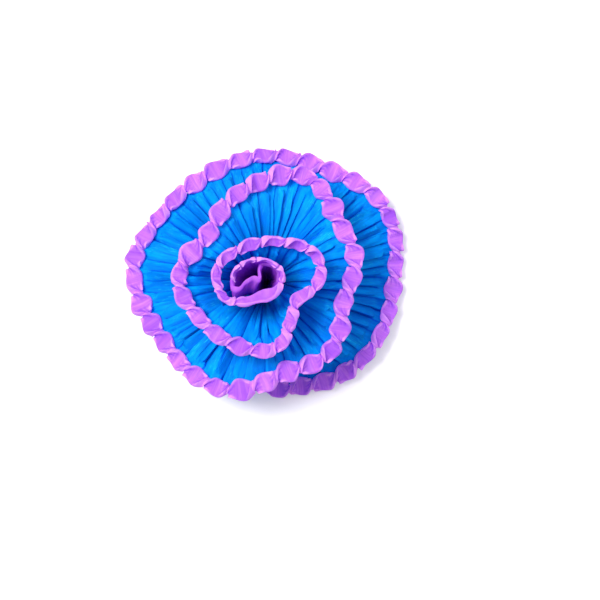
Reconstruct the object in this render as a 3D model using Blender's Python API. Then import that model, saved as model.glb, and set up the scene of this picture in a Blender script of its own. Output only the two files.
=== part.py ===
"""Tissue paper pom pom, about 125 mm across.

A long blue crepe strip is gathered at its foot and wound clockwise, seen from above,
round a rolled lilac heart. Its pleats fan out of the bound neck like the ribs of a shell.
A lilac strip is twisted round the rim into a rope of flat lobes, first along the heart's
ring and then along the whole rim of the blue strip. A thin green wire binds the neck.

The winding is measured in degrees from +X, clockwise seen from above, and goes on past
360 with each turn. The foot stands on z = 0 and the neck is the Z axis. Lengths in metres.
"""
import math

import bpy
import bmesh
import numpy as np

MM = 0.001

# Paper strips
PAPER = 0.50 * MM              # wall of a strip
TURN_GAP = 0.40 * MM           # air between two turns in the bound neck
SEAT_GAP = 0.30 * MM           # air between two pieces that lie on each other
NECK_HEIGHT = 8.0 * MM         # bound part of the strips, from the foot up
HEART_REACH = 53.5 * MM        # straight distance from the neck's top to the heart's rim
INNER_REACH = 52.0 * MM        # the same, once the blue strip leans out
MIDDLE_REACH = 48.0 * MM       # and where it bends over
NECK_HANDLE = 14.0 * MM        # how far a strip keeps rising before it leans out
RIM_HANDLE = 17.5 * MM         # how far inside the rim its slope is felt

# Even radius of the rim's path, before the hand-made sway
CURL_RADIUS = 2.3 * MM         # innermost curl of the heart
HEART_RADIUS = 9.5 * MM
INNER_RADIUS = 20.5 * MM
MIDDLE_RADIUS = 41.0 * MM
OUTER_RADIUS = 57.5 * MM
TAIL_RADIUS = 51.0 * MM

# Windings, in degrees
HEART_START = -120.0
RING_START = 172.0             # where the heart's ring and the edging begin
HEART_END = 424.0
BLUE_START = 428.0
BLUE_END = 1530.0
DROOP_START = 1180.0           # from here the last turn sinks
DROOP_END = 1290.0             # and from here it lies near the table

# Heights of the rim
CURL_DROP = 4.0 * MM           # the heart's inner curl below its ring
RIM_LIFT = 3.3 * MM            # lowest rim of the last turn
RIM_WAVE = 6.0 * MM            # how far the last turn rises between its low points
LOW_POINTS = 5                 # low points of the last turn in one turn
SWAY_RISE = 0.5                # share of the sway that the rim's height follows

# Slope of a strip at its rim, in degrees
RIM_BEND = 20.0                # flatter than the straight line from the neck
BEND_REACH = 15.0 * MM         # a strip that leans out less than this bends less too
SLACK_BEND = 200.0             # extra bend for a strip that reaches less far than it could
LOWEST_SLOPE = -45.0           # no rim hangs steeper than this

# Pleats of the blue strip
PLEATS_PER_TURN = 26
PLEAT_DEPTH = 2.0 * MM         # deepest pleat, from its middle to its ridge
PLEAT_SHARE = 0.40             # most of a pleat's width that its depth may take
PLEAT_COLUMNS = (0.0, 0.33, 0.67)
PLEAT_HEIGHTS = (-1.0, 0.8, 0.8)
HEART_COLUMNS_PER_TURN = 20
STRIP_ROWS = (0.0, 0.14, 0.30, 0.48, 0.66, 0.84, 1.0)

# Edging: a rope of flat lobes
LOBE_LENGTH = 11.0 * MM
LOBE_WIDTH = 7.4 * MM
LOBE_THICKNESS = 2.4 * MM
WAIST_WIDTH = 2.8 * MM
WAIST_THICKNESS = 2.2 * MM
LOBE_RISE = 1.5 * MM           # middle of the edging beyond the strip's raw edge
SHOULDER_TURN = 13.0           # degrees by which a lobe's shoulders are turned
BIG_LOBE = 1.55                # size of the lobe that closes the heart's ring
BIG_LOBE_AT = 440.0
BIG_LOBE_SPREAD = 45.0
LOBE_SIDES = 6
LOBE_RINGS = 3

# Binding wire
WIRE_DIAMETER = 0.8 * MM
WIRE_AIR = 0.25 * MM           # between two turns of the wire
WIRE_TURNS = 3
WIRE_TAIL = 8.0 * MM
WIRE_STEPS_PER_TURN = 14

# The rim's sway: winding in degrees, and the share of the even radius that it has there
SWAY = (
    (-120, 1.00), (0, 0.62), (60, 0.50), (90, 0.52), (120, 0.66), (150, 1.08), (180, 1.52),
    (225, 1.22), (285, 1.02), (345, 0.95), (405, 0.73), (435, 0.64), (465, 0.69),
    (490, 1.00), (512, 1.28), (540, 1.29), (600, 0.90), (660, 0.91), (705, 1.12),
    (725, 0.95), (750, 0.67), (770, 0.74), (795, 1.02), (840, 0.96), (870, 0.97),
    (900, 1.05), (935, 0.85), (975, 1.01), (1015, 1.20), (1040, 0.97), (1065, 0.92),
    (1095, 0.77), (1125, 0.88), (1155, 0.82), (1190, 0.96), (1230, 0.95), (1264, 1.05),
    (1305, 0.95), (1350, 0.99), (1380, 1.02), (1406, 1.10), (1440, 1.02), (1485, 0.96),
    (1513, 0.86), (1545, 0.90),
)

NECK_PITCH = PAPER + TURN_GAP
HEART_NECK_RADIUS = PAPER / 2 + TURN_GAP
PLUG_RADIUS = HEART_NECK_RADIUS + NECK_PITCH * (HEART_END - HEART_START) / 360 + PAPER / 2
BLUE_NECK_RADIUS = PLUG_RADIUS + SEAT_GAP + PAPER / 2
NECK_OUTSIDE = BLUE_NECK_RADIUS + NECK_PITCH * (BLUE_END - BLUE_START) / 360 + PAPER / 2
EDGING_DEPTH = PAPER / 2 + SEAT_GAP + max(WAIST_WIDTH, LOBE_THICKNESS) / 2


def ease(share):
    """Smooth step from 0 to 1."""
    share = np.clip(share, 0.0, 1.0)
    return share * share * (3 - 2 * share)


def smooth_through(knots, at):
    """Smooth curve through (place, value) knots, read at the given places."""
    place, value = np.array(knots, dtype=float).T
    slope = np.gradient(value, place)
    i = np.clip(np.searchsorted(place, at, side="right") - 1, 0, len(place) - 2)
    span = place[i + 1] - place[i]
    u = np.clip((at - place[i]) / span, 0.0, 1.0)
    from_left = (1 + 2 * u) * (1 - u) ** 2 * value[i] + u * (1 - u) ** 2 * span * slope[i]
    from_right = u * u * (3 - 2 * u) * value[i + 1] + u * u * (u - 1) * span * slope[i + 1]
    return from_left + from_right


def neck_radius(winding, first_winding, first_radius):
    """Even spiral of a strip's middle in the bound neck."""
    return first_radius + NECK_PITCH * (winding - first_winding) / 360


def rim_path(winding, neck):
    """Radius, height and slope of the rim, which the edging follows."""
    even = smooth_through(
        ((HEART_START, CURL_RADIUS), (120, 0.92 * HEART_RADIUS), (320, HEART_RADIUS),
         (640, INNER_RADIUS), (1000, MIDDLE_RADIUS), (1380, OUTER_RADIUS), (1600, TAIL_RADIUS)),
        winding)
    radius = even * smooth_through(SWAY, winding)
    lean = even + SWAY_RISE * (radius - even) - neck
    reach = smooth_through(
        ((HEART_START, HEART_REACH), (400, HEART_REACH), (640, INNER_REACH),
         (900, MIDDLE_REACH), (1100, MIDDLE_REACH), (1200, INNER_REACH)), winding)
    free_height = NECK_HEIGHT + np.sqrt(np.maximum(reach ** 2 - lean ** 2, 0.0))
    wave = 0.5 - 0.5 * np.cos(np.radians(winding - DROOP_END) * LOW_POINTS)
    low_height = RIM_LIFT + RIM_WAVE * wave
    droop = ease((winding - DROOP_START) / (DROOP_END - DROOP_START))
    height = free_height * (1 - droop) + low_height * droop
    out = radius - neck
    slack = np.maximum(1 - np.hypot(out, height - NECK_HEIGHT) / HEART_REACH, 0.0)
    bend = (RIM_BEND + SLACK_BEND * slack) * np.clip(out / BEND_REACH, 0.0, 1.0)
    slope = np.arctan2(height - NECK_HEIGHT, out) - np.radians(bend)
    slope = np.maximum(slope, math.radians(LOWEST_SLOPE))
    height = height - CURL_DROP * (1 - ease((winding - 90) / 80))
    return radius, height, slope


def raw_edge(winding, neck):
    """Middle of the paper at the strip's raw edge, which lies just behind the edging."""
    radius, height, slope = rim_path(winding, neck)
    edge_radius = radius + np.sin(slope) * EDGING_DEPTH - np.cos(slope) * LOBE_RISE
    edge_height = height - np.cos(slope) * EDGING_DEPTH - np.sin(slope) * LOBE_RISE
    return edge_radius, edge_height, slope


def strip_section(winding, neck, rows):
    """Radius and height of a strip from its neck to its raw edge, and its normals.

    A cubic curve rises out of the neck and leans out to the rim's slope. The arrays are
    one row for each winding and one column for each share of the way to the raw edge.
    """
    edge_radius, edge_height, slope = raw_edge(winding, neck)
    points = np.array([
        [neck, np.full_like(neck, NECK_HEIGHT)],
        [neck, np.full_like(neck, NECK_HEIGHT + NECK_HANDLE)],
        [edge_radius - np.cos(slope) * RIM_HANDLE, edge_height - np.sin(slope) * RIM_HANDLE],
        [edge_radius, edge_height],
    ])[:, :, :, None]
    v = np.array(rows)[None, None, :]
    curve = ((1 - v) ** 3 * points[0] + 3 * (1 - v) ** 2 * v * points[1]
             + 3 * (1 - v) * v ** 2 * points[2] + v ** 3 * points[3])
    along = (3 * (1 - v) ** 2 * (points[1] - points[0]) + 6 * (1 - v) * v * (points[2] - points[1])
             + 3 * v ** 2 * (points[3] - points[2]))
    along /= np.hypot(along[0], along[1])
    return curve[0], curve[1], -along[1], along[0]


def turned(winding, radius, height):
    """World points of a radius and a height at each winding."""
    angle = np.radians(winding)
    return np.stack([radius * np.cos(angle), -radius * np.sin(angle), height], axis=-1)


def solid_strip(name, winding, neck, depth):
    """A wall of paper from the foot to the raw edge, with its pleats along the normal."""
    radius, height, out, up = strip_section(winding, neck, STRIP_ROWS)
    faces_of_wall = []
    for side in (1, -1):
        shift = depth(radius) + side * PAPER / 2
        free = turned(winding[:, None], radius + out * shift, height + up * shift)
        foot = turned(winding, neck - side * PAPER / 2, np.zeros_like(neck))
        faces_of_wall.append(np.concatenate([foot[:, None], free], axis=1))
    columns, rows = faces_of_wall[0].shape[:2]
    points = np.concatenate([wall.reshape(-1, 3) for wall in faces_of_wall])
    front = np.arange(columns * rows).reshape(columns, rows)
    loop_front = np.concatenate([front[:, 0], front[-1, 1:], front[-2::-1, -1], front[0, -2:0:-1]])
    loop_back = loop_front + columns * rows
    corners = [np.stack(corner, axis=-1).reshape(-1, 3) for corner in (
        (front[:-1, :-1], front[:-1, 1:], front[1:, 1:]),
        (front[:-1, :-1], front[1:, 1:], front[1:, :-1]),
        (loop_front, np.roll(loop_front, -1), np.roll(loop_back, -1)),
        (loop_front, np.roll(loop_back, -1), loop_back))]
    back_corners = [corner[:, ::-1] + columns * rows for corner in corners[:2]]
    faces = np.concatenate(corners[:2] + back_corners + corners[2:])
    return mesh_object(name, points, faces)


def mesh_object(name, points, faces):
    """A new mesh object with its faces pointing out, smooth but for its sharp edges."""
    mesh = bpy.data.meshes.new(name)
    mesh.from_pydata(points.tolist(), [], faces.tolist())
    shell = bmesh.new()
    shell.from_mesh(mesh)
    bmesh.ops.recalc_face_normals(shell, faces=shell.faces)
    bmesh.ops.triangulate(shell, faces=shell.faces)
    shell.to_mesh(mesh)
    shell.free()
    mesh.shade_smooth()
    mesh.set_sharp_from_angle(angle=math.radians(50))
    item = bpy.data.objects.new(name, mesh)
    bpy.context.collection.objects.link(item)
    return item


def pleat_columns():
    """Windings of the pleats' valleys and shoulders, and the height and size of each.

    The pleats are gathered by hand, so their widths and depths wander.
    """
    fine = np.linspace(BLUE_START, BLUE_END, 4000)
    turns = (fine - BLUE_START) / 360
    count = PLEATS_PER_TURN * turns + 0.45 * np.sin(9.1 * turns) + 0.25 * np.sin(23.7 * turns)
    pleats = int(count[-1])
    number = np.repeat(np.arange(pleats), len(PLEAT_COLUMNS))
    place = number + np.tile(PLEAT_COLUMNS, pleats)
    place = np.append(place, pleats)
    number = np.append(number, pleats)
    size = 0.8 + 0.2 * np.sin(2.4 * number) * np.cos(0.9 * number)
    height = np.append(np.tile(PLEAT_HEIGHTS, pleats), PLEAT_HEIGHTS[0]) * size
    winding = np.interp(place * count[-1] / pleats, count, fine)
    return winding, height


def make_petal_strip():
    """The blue strip: gathered at the neck, pleated, and flat again along its rim."""
    winding, pleat = pleat_columns()
    neck = neck_radius(winding, BLUE_START, BLUE_NECK_RADIUS)
    fade = np.sin(np.pi * np.array(STRIP_ROWS)) ** 0.8
    fade[-1] = 0.0

    def depth(radius):
        widest = PLEAT_SHARE * 2 * np.pi * radius / PLEATS_PER_TURN
        return pleat[:, None] * fade * np.minimum(PLEAT_DEPTH, widest)

    return solid_strip("petal_strip", winding, neck, depth)


def make_heart_petal():
    """The lilac heart: a rolled strip whose foot is rolled tight into a solid plug."""
    columns = round(HEART_COLUMNS_PER_TURN * (HEART_END - HEART_START) / 360)
    winding = np.linspace(HEART_START, HEART_END, columns + 1)
    neck = neck_radius(winding, HEART_START, HEART_NECK_RADIUS)
    heart = solid_strip("heart_petal", winding, neck, lambda radius: 0.0 * radius)
    bpy.ops.mesh.primitive_cylinder_add(
        vertices=24, radius=PLUG_RADIUS, depth=NECK_HEIGHT, location=(0, 0, NECK_HEIGHT / 2))
    plug = bpy.context.object
    plug.name = "plug_tool"
    plug.hide_render = True
    plug.display_type = "WIRE"
    roll = heart.modifiers.new("rolled_foot", "BOOLEAN")
    roll.operation = "UNION"
    roll.solver = "EXACT"
    roll.object = plug
    return heart


def lobe_phases(winding, path):
    """Count of lobes from the edging's start, along its path, and each place's lobe size."""
    size = 1 + (BIG_LOBE - 1) * np.exp(-((winding - BIG_LOBE_AT) / BIG_LOBE_SPREAD) ** 2)
    step = np.linalg.norm(np.diff(path, axis=0), axis=1)
    share = step / (LOBE_LENGTH * (size[1:] + size[:-1]) / 2)
    return np.concatenate([[0.0], np.cumsum(share)]), size


def edging_neck(winding):
    """Neck radius of the strip that carries the edging: the heart's, then the blue one's."""
    heart = neck_radius(winding, HEART_START, HEART_NECK_RADIUS)
    blue = neck_radius(winding, BLUE_START, BLUE_NECK_RADIUS)
    share = ease((winding - HEART_END) / (BLUE_START - HEART_END))
    return heart * (1 - share) + blue * share


def make_edging_strip():
    """The lilac edging: flat lobes, each half a turn of twist from the next one."""
    fine = np.linspace(RING_START, BLUE_END, 6000)
    radius, height, slope = rim_path(fine, edging_neck(fine))
    count, size = lobe_phases(fine, turned(fine, radius, height))
    lobes = round(count[-1])
    place = np.arange(lobes * LOBE_RINGS + 1) / LOBE_RINGS
    winding = np.interp(place * count[-1] / lobes, count, fine)
    size = np.interp(winding, fine, size)
    phase = place % 1.0
    full = np.sin(np.pi * phase) ** 0.45
    half_width = (WAIST_WIDTH + (LOBE_WIDTH - WAIST_WIDTH) * full) / 2 * size
    half_depth = (WAIST_THICKNESS + (LOBE_THICKNESS - WAIST_THICKNESS) * full) / 2
    half_width[0] = half_width[-1] = WAIST_WIDTH / 2
    lobe_turn = np.where(phase < 0.01, -90.0, np.where(phase < 0.5, -SHOULDER_TURN, SHOULDER_TURN))
    twist = np.radians(180 * np.floor(place + 0.001) + lobe_turn)
    around = np.arange(LOBE_SIDES) * 2 * np.pi / LOBE_SIDES
    wide = half_width[:, None] * np.cos(around)
    deep = half_depth[:, None] * np.sin(around)
    along_strip = wide * np.cos(twist)[:, None] - deep * np.sin(twist)[:, None]
    off_strip = wide * np.sin(twist)[:, None] + deep * np.cos(twist)[:, None]
    edge_radius, edge_height, slope = raw_edge(winding, edging_neck(winding))
    lift = PAPER / 2 + SEAT_GAP + off_strip.max(axis=1)
    across = along_strip + LOBE_RISE
    above = off_strip + lift[:, None]
    ring_radius = (edge_radius[:, None] + np.cos(slope)[:, None] * across
                   - np.sin(slope)[:, None] * above)
    ring_height = (edge_height[:, None] + np.sin(slope)[:, None] * across
                   + np.cos(slope)[:, None] * above)
    points = turned(winding[:, None], ring_radius, ring_height).reshape(-1, 3)
    rings = np.arange(len(winding) * LOBE_SIDES).reshape(-1, LOBE_SIDES)
    near, far = rings[:-1], rings[1:]
    sides = np.stack([near, np.roll(near, -1, axis=1), np.roll(far, -1, axis=1), far], axis=-1)
    faces = sides.reshape(-1, 4).tolist() + [rings[0].tolist(), rings[-1].tolist()]
    return mesh_object("edging_strip", points, np.array(faces, dtype=object))


def make_binding_wire():
    """Green wire: a few turns round the neck, and a tail bent away under the flower."""
    ring = NECK_OUTSIDE + SEAT_GAP + WIRE_DIAMETER / 2
    pitch = WIRE_DIAMETER + WIRE_AIR
    steps = WIRE_TURNS * WIRE_STEPS_PER_TURN
    angle = np.linspace(0, 2 * np.pi * WIRE_TURNS, steps + 1)
    first_height = (NECK_HEIGHT - WIRE_TURNS * pitch) / 2
    coil = np.stack([ring * np.cos(angle), ring * np.sin(angle),
                     first_height + pitch * angle / (2 * np.pi)], axis=-1)
    way = np.linspace(0, 1, 6)[1:, None]
    tail = coil[-1] + WIRE_TAIL * np.concatenate(
        [0.55 * way ** 2, way - 0.25 * way ** 2, -0.30 * way ** 2], axis=1)
    points = np.concatenate([coil, tail])
    curve = bpy.data.curves.new("binding_wire", "CURVE")
    curve.dimensions = "3D"
    curve.bevel_depth = WIRE_DIAMETER / 2
    curve.bevel_resolution = 1
    curve.use_fill_caps = True
    spline = curve.splines.new("POLY")
    spline.points.add(len(points) - 1)
    for knot, point in zip(spline.points, points):
        knot.co = (*point, 1.0)
    item = bpy.data.objects.new("binding_wire", curve)
    bpy.context.collection.objects.link(item)
    return item


def paint(item, name, colour, roughness):
    """One plain material for a piece."""
    material = bpy.data.materials.new(name)
    material.use_nodes = True
    shader = material.node_tree.nodes["Principled BSDF"]
    shader.inputs["Base Color"].default_value = (*colour, 1.0)
    shader.inputs["Roughness"].default_value = roughness
    shader.inputs["Metallic"].default_value = 0.0
    item.data.materials.append(material)


def main():
    for item in list(bpy.data.objects):
        bpy.data.objects.remove(item, do_unlink=True)
    paint(make_heart_petal(), "lilac_crepe_heart", (0.36, 0.09, 0.78), 0.75)
    paint(make_petal_strip(), "blue_crepe", (0.0, 0.22, 0.90), 0.75)
    paint(make_edging_strip(), "lilac_crepe_edging", (0.47, 0.17, 0.88), 0.70)
    paint(make_binding_wire(), "green_wire", (0.03, 0.12, 0.05), 0.45)


main()
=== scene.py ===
"""Tissue paper pom pom: its crepe strips at full detail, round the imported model.

A blue strip is gathered at its foot and wound clockwise, seen from above, round a rolled
lilac heart, and a lilac strip is twisted round the rim into a rope of flat lobes. Places
along the rim are counted in lobes of that edging, so that the pleats of the blue strip
meet the waists between the lobes. Windings are in degrees from +X, clockwise seen from
above. The foot stands on z = 0, the neck is the Z axis, and lengths are in metres.
"""
import math

import bpy
import numpy as np
from bpy.props import FloatProperty, FloatVectorProperty, PointerProperty
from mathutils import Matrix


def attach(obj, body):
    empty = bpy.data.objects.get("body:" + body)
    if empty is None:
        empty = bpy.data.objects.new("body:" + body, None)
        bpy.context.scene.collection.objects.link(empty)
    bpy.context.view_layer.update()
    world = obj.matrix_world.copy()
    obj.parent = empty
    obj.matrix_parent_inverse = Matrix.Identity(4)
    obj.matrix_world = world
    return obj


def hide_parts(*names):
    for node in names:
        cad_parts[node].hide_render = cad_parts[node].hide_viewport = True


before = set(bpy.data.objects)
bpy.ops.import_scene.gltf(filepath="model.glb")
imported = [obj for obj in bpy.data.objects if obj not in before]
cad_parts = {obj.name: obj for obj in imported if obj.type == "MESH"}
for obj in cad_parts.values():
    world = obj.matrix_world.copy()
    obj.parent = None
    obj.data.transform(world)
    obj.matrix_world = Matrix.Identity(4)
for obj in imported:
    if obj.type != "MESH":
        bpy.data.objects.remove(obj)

bl_info = {
    "name": "Tissue paper pom pom",
    "version": (1, 0, 0),
    "blender": (4, 5, 0),
    "location": "View3D > Sidebar > Pom pom",
    "description": "Makes a wound, pleated crepe paper pom pom with a twisted edging",
    "category": "Add Mesh",
}

MM = 0.001

# The wound strips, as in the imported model
PAPER = 0.50 * MM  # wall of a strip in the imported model
TURN_GAP = 0.40 * MM  # air between two turns in the bound neck
SEAT_GAP = 0.30 * MM  # air between two pieces that lie on each other
NECK_HEIGHT = 8.0 * MM
HEART_REACH = 53.5 * MM  # straight distance from the neck's top to the heart's rim
INNER_REACH = 52.0 * MM
MIDDLE_REACH = 48.0 * MM
NECK_HANDLE = 14.0 * MM  # how far a strip keeps rising before it leans out
RIM_HANDLE = 17.5 * MM  # how far inside the rim its slope is felt
CURL_RADIUS = 2.3 * MM
HEART_RADIUS = 9.5 * MM
INNER_RADIUS = 20.5 * MM
MIDDLE_RADIUS = 41.0 * MM
OUTER_RADIUS = 57.5 * MM
TAIL_RADIUS = 51.0 * MM
HEART_START = -120.0
RING_START = 172.0
HEART_END = 424.0
BLUE_START = 428.0
BLUE_END = 1530.0
DROOP_START = 1180.0
DROOP_END = 1290.0
CURL_DROP = 4.0 * MM
RIM_LIFT = 3.3 * MM
RIM_WAVE = 6.0 * MM
LOW_POINTS = 5
SWAY_RISE = 0.5
RIM_BEND = 20.0
BEND_REACH = 15.0 * MM
SLACK_BEND = 200.0
LOWEST_SLOPE = -45.0
LOBE_LENGTH = 11.0 * MM
BIG_LOBE = 1.55
BIG_LOBE_AT = 440.0
BIG_LOBE_SPREAD = 45.0
WIRE_DIAMETER = 0.8 * MM
WIRE_AIR = 0.25 * MM
WIRE_TURNS = 3
WIRE_TAIL = 8.0 * MM

# The rim's sway: winding in degrees, and the share of the even radius that it has there
SWAY = (
    (-120, 1.00), (0, 0.62), (60, 0.50), (90, 0.52), (120, 0.66), (150, 1.08), (180, 1.52),
    (225, 1.22), (285, 1.02), (345, 0.95), (405, 0.73), (435, 0.64), (465, 0.69),
    (490, 1.00), (512, 1.28), (540, 1.29), (600, 0.90), (660, 0.91), (705, 1.12),
    (725, 0.95), (750, 0.67), (770, 0.74), (795, 1.02), (840, 0.96), (870, 0.97),
    (900, 1.05), (935, 0.85), (975, 1.01), (1015, 1.20), (1040, 0.97), (1065, 0.92),
    (1095, 0.77), (1125, 0.88), (1155, 0.82), (1190, 0.96), (1230, 0.95), (1264, 1.05),
    (1305, 0.95), (1350, 0.99), (1380, 1.02), (1406, 1.10), (1440, 1.02), (1485, 0.96),
    (1513, 0.86), (1545, 0.90),
)

# Rim of the heart's inner folds, from its hidden end to the ring: x, y and height in mm
HEART_FOLDS = (
    (6.1, -1.9, 54.0), (7.2, 3.4, 55.5), (3.4, 6.3, 56.5), (-0.5, 6.9, 57.0),
    (-1.8, 5.2, 58.0), (-1.2, 1.0, 58.0), (-3.6, 1.6, 58.5), (-7.1, 0.1, 58.5),
    (-10.2, -3.0, 58.5), (-12.7, -2.8, 59.0),
)
HEART_JOINS = 184.0  # winding at which the folds run into the ring
BUD_LEAN = (0.38, 0.80, 0.46)  # way in which the bud's own rim leans in over its fold

STRIP_WIDTH = 60.0  # width of a strip in mm, which its paper's pattern uses
NECK_PITCH = PAPER + TURN_GAP
NECK_FILL = 0.97 * NECK_PITCH  # thickness of the gathered paper in the bound neck
HEART_NECK_RADIUS = PAPER / 2 + TURN_GAP
PLUG_RADIUS = HEART_NECK_RADIUS + NECK_PITCH * (HEART_END - HEART_START) / 360 + PAPER / 2
BLUE_NECK_RADIUS = PLUG_RADIUS + SEAT_GAP + PAPER / 2
NECK_OUTSIDE = BLUE_NECK_RADIUS + NECK_PITCH * (BLUE_END - BLUE_START) / 360 + PAPER / 2

PLUG_FILL = PLUG_RADIUS + 0.45 * MM

# Even spiral's radius and the strip's reach, by winding
EVEN_RADIUS = ((HEART_START, CURL_RADIUS), (120, 0.92 * HEART_RADIUS), (320, HEART_RADIUS),
               (640, INNER_RADIUS), (1000, MIDDLE_RADIUS), (1380, OUTER_RADIUS),
               (1600, TAIL_RADIUS))
REACH = ((HEART_START, HEART_REACH), (400, HEART_REACH), (640, INNER_REACH),
         (900, MIDDLE_REACH), (1100, MIDDLE_REACH), (1200, INNER_REACH))
CURL_ENDS = 90.0  # winding where the curl starts to rise to the ring
CURL_RISES = 80.0  # over so many degrees
RIM_TILT = 0.16  # radians by which the rim's slope wanders
TOSS_LOST = 0.6  # share of the rim's toss that the last turn loses
FINE_STEPS = 6000  # windings at which the rim's length is measured

# Lobes round the heart, as counted by their even length and as they were twisted
RING_WAISTS = ((0.0, 0.0), (0.94, 1.0), (1.62, 2.0), (2.61, 3.0), (3.36, 4.0), (5.1, 5.0),
               (6.0, 6.0), (7.0, 7.0))

# Blue strip. Shares are of its width, from the neck, unless they say otherwise
PLEAT_COLUMNS = (0.0, 0.16, 0.34, 0.52, 0.66, 0.76, 0.88)
PETAL_ROWS = 36
NECK_SHARE = 0.12  # share over which the bound paper opens
TURNED_OVER = 0.28  # share of lobes with pleats folded the other way
PLEAT_TOPS = (0.52, 0.66, 0.76)  # way across a pleat to its ridge
PLEAT_DRIFT = 0.46  # how far a fold strays, in pleats
PLEAT_ROOM = 0.78  # deepest pleat, as a share of its room
PLEAT_LEAST = 0.18 * MM  # depth that a pleat keeps in the neck
PLEAT_LEVEL = 0.45  # height in a pleat that lies on the smooth sheet
BILLOW = 1.15 * MM
WAIST_FELT = 4.2 * MM  # how far in from the rim a waist's lift is greatest
BUD_PASSED = 500.0  # up to this winding the strip keeps off the bud,
BUD_LEFT = 120.0  # over so many more degrees it leaves it,
BUD_ROOM = 0.60  # by this share of a pleat's depth
LOBE_COVER = 5.2 * MM  # how far in the lobes cover the strip,
WAIST_COVER = 1.2 * MM  # how much less that is at a waist,
COVER_EASE = 2.6 * MM  # and the width in which it dips under them
LOBE_DIP = 0.4 * MM
VALLEY_SHADE, FOOT_SHADE, PLEAT_DYE_AND_SHADE = 0.90, 0.85, 0.40  # how dark the painted shade is in the pleats' valleys, towards the neck, and on whole pleats, where it is partly dye that differs at random

# Edging. Side of a lobe: way from the waist where it starts, and share of the half width
LOBE_SIDE = ((0.0, 0.0), (0.08, 0.36), (0.18, 0.72), (0.30, 0.95), (0.42, 1.0), (0.58, 0.94),
             (0.76, 0.77), (0.90, 0.55), (1.0, 0.28))
BACK_DIVE = 0.045  # share of a lobe in which its back edge dives
BACK_DEPTH = 0.6  # how deep it dives, as a share of the front edge's rise
RINGS_CLOSE = 0.5  # how much closer together the rings are at a waist

# Width of the lobes: winding, and the share of the full width there
LOBE_WIDTHS = ((172, 0.42), (360, 0.42), (400, 0.60), (440, 0.74), (490, 0.62), (520, 0.62),
               (650, 0.72), (760, 0.86), (880, 1.0), (1600, 1.0))
HEART_LIES = 365.0  # up to this winding the lobes stand up with the heart's rim
HEART_LAID = 50.0  # and over so many more degrees they are laid flatter
LOBE_STEEPEST = 0.55  # radians: lobes that would be steeper are laid flatter,
LOBE_STEEPEST_DOWN = 0.40  # also where the rim droops,
LOBE_FLATTER = 0.65  # by this share
LOBE_STRAY = 0.07  # how far a waist strays, in lobes
WIDTH_STRAY, RISE_STRAY, PUFF_STRAY = 0.16, 0.30, 0.35
HEART_RISE, HEART_PLUMP = 0.35, 0.75  # how far lobes on the heart rise and swell
LOBE_SHADE = 0.52  # deepest painted shade given at random to a whole lobe, as on lobes turned from the light
EDGE_AT, EDGE_SPREAD = 0.80, 0.16  # place and width of the rolled edge, in half widths
EDGING_RINGS = 26
EDGING_SIDES = 32
EDGING_ROUND = 16.0  # mm round it, for its paper's pattern
TABLE_CLEAR = 0.30 * MM  # lowest that any paper hangs

# Heart
HEART_RING_COLUMNS = 110
HEART_FOLD_COLUMNS = 130
HEART_ROWS = 44
HEART_WALL = 0.30 * MM
HEART_ROLL = 1.7 * MM  # thickness of the roll along the inner folds' rim
ROLL_HALF = 0.035  # half the roll's width, as a share of the strip's
FOLD_STEEP = 0.6  # how much more steeply the folds end than they lean
BULGE_RISES, BULGE_FALLS = (0.42, 0.15), (0.84, 0.14)  # start and length along the folds

FLOOR_DROP = 0.02 * MM  # how far the floor lies below the foot

# Camera: it looks down on the heart from straight above, as far off as the photograph's
AIM = (15.94 * MM, -6.74 * MM, 0.0)
CAMERA_DISTANCE = 1.5
CAMERA_ELEVATION = 88.0
CAMERA_LENS = 200.4


def ease(share):
    """Smooth step: 0 below 0, 1 above 1, and three squares less two cubes between."""
    share = np.clip(share, 0.0, 1.0)
    return share * share * (3 - 2 * share)


def smooth_through(knots, at):
    """Cubic through (place, value) knots, with the slope of the knots' own gradient."""
    place, value = np.array(knots, dtype=float).T
    slope = np.gradient(value, place)
    i = np.clip(np.searchsorted(place, at, side="right") - 1, 0, len(place) - 2)
    span = place[i + 1] - place[i]
    u = np.clip((at - place[i]) / span, 0.0, 1.0)
    from_left = (1 + 2 * u) * (1 - u) ** 2 * value[i] + u * (1 - u) ** 2 * span * slope[i]
    from_right = u * u * (3 - 2 * u) * value[i + 1] + u * u * (u - 1) * span * slope[i + 1]
    return from_left + from_right


def soft_noise(seed, along, across=0.0):
    """Noise from -1 to 1: seeded numbers on a lattice of ones, eased from each to the next."""
    table = np.random.default_rng(seed).uniform(-1.0, 1.0, (512, 64))
    along, across = np.broadcast_arrays(along, across)
    i, j = np.floor(along).astype(int), np.floor(across).astype(int)
    s, t = ease(along - i), ease(across - j)
    near = table[i % 512, j % 64] * (1 - s) + table[(i + 1) % 512, j % 64] * s
    far = table[i % 512, (j + 1) % 64] * (1 - s) + table[(i + 1) % 512, (j + 1) % 64] * s
    return near * (1 - t) + far * t


def unit(vectors):
    """The vectors at length 1."""
    return vectors / np.linalg.norm(vectors, axis=-1, keepdims=True)


def run_length(points):
    """Length along a run of points, up to each."""
    return np.concatenate([[0.0], np.cumsum(np.linalg.norm(np.diff(points, axis=0), axis=1))])


def turned(winding, radius, height):
    """Point at a radius and height: x is radius by cosine, y is minus radius by sine."""
    angle = np.radians(winding)
    return np.stack(np.broadcast_arrays(
        radius * np.cos(angle), -radius * np.sin(angle), height), axis=-1)


def neck_radius(winding, first_winding, first_radius):
    """Even spiral of a strip in the bound neck: the radius grows by one pitch a turn."""
    return first_radius + NECK_PITCH * (winding - first_winding) / 360


def edging_neck(winding):
    """Neck radius of the strip under the edging: the heart's, then the blue one's."""
    heart = neck_radius(winding, HEART_START, HEART_NECK_RADIUS)
    blue = neck_radius(winding, BLUE_START, BLUE_NECK_RADIUS)
    share = ease((winding - HEART_END) / (BLUE_START - HEART_END))
    return heart * (1 - share) + blue * share


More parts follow.
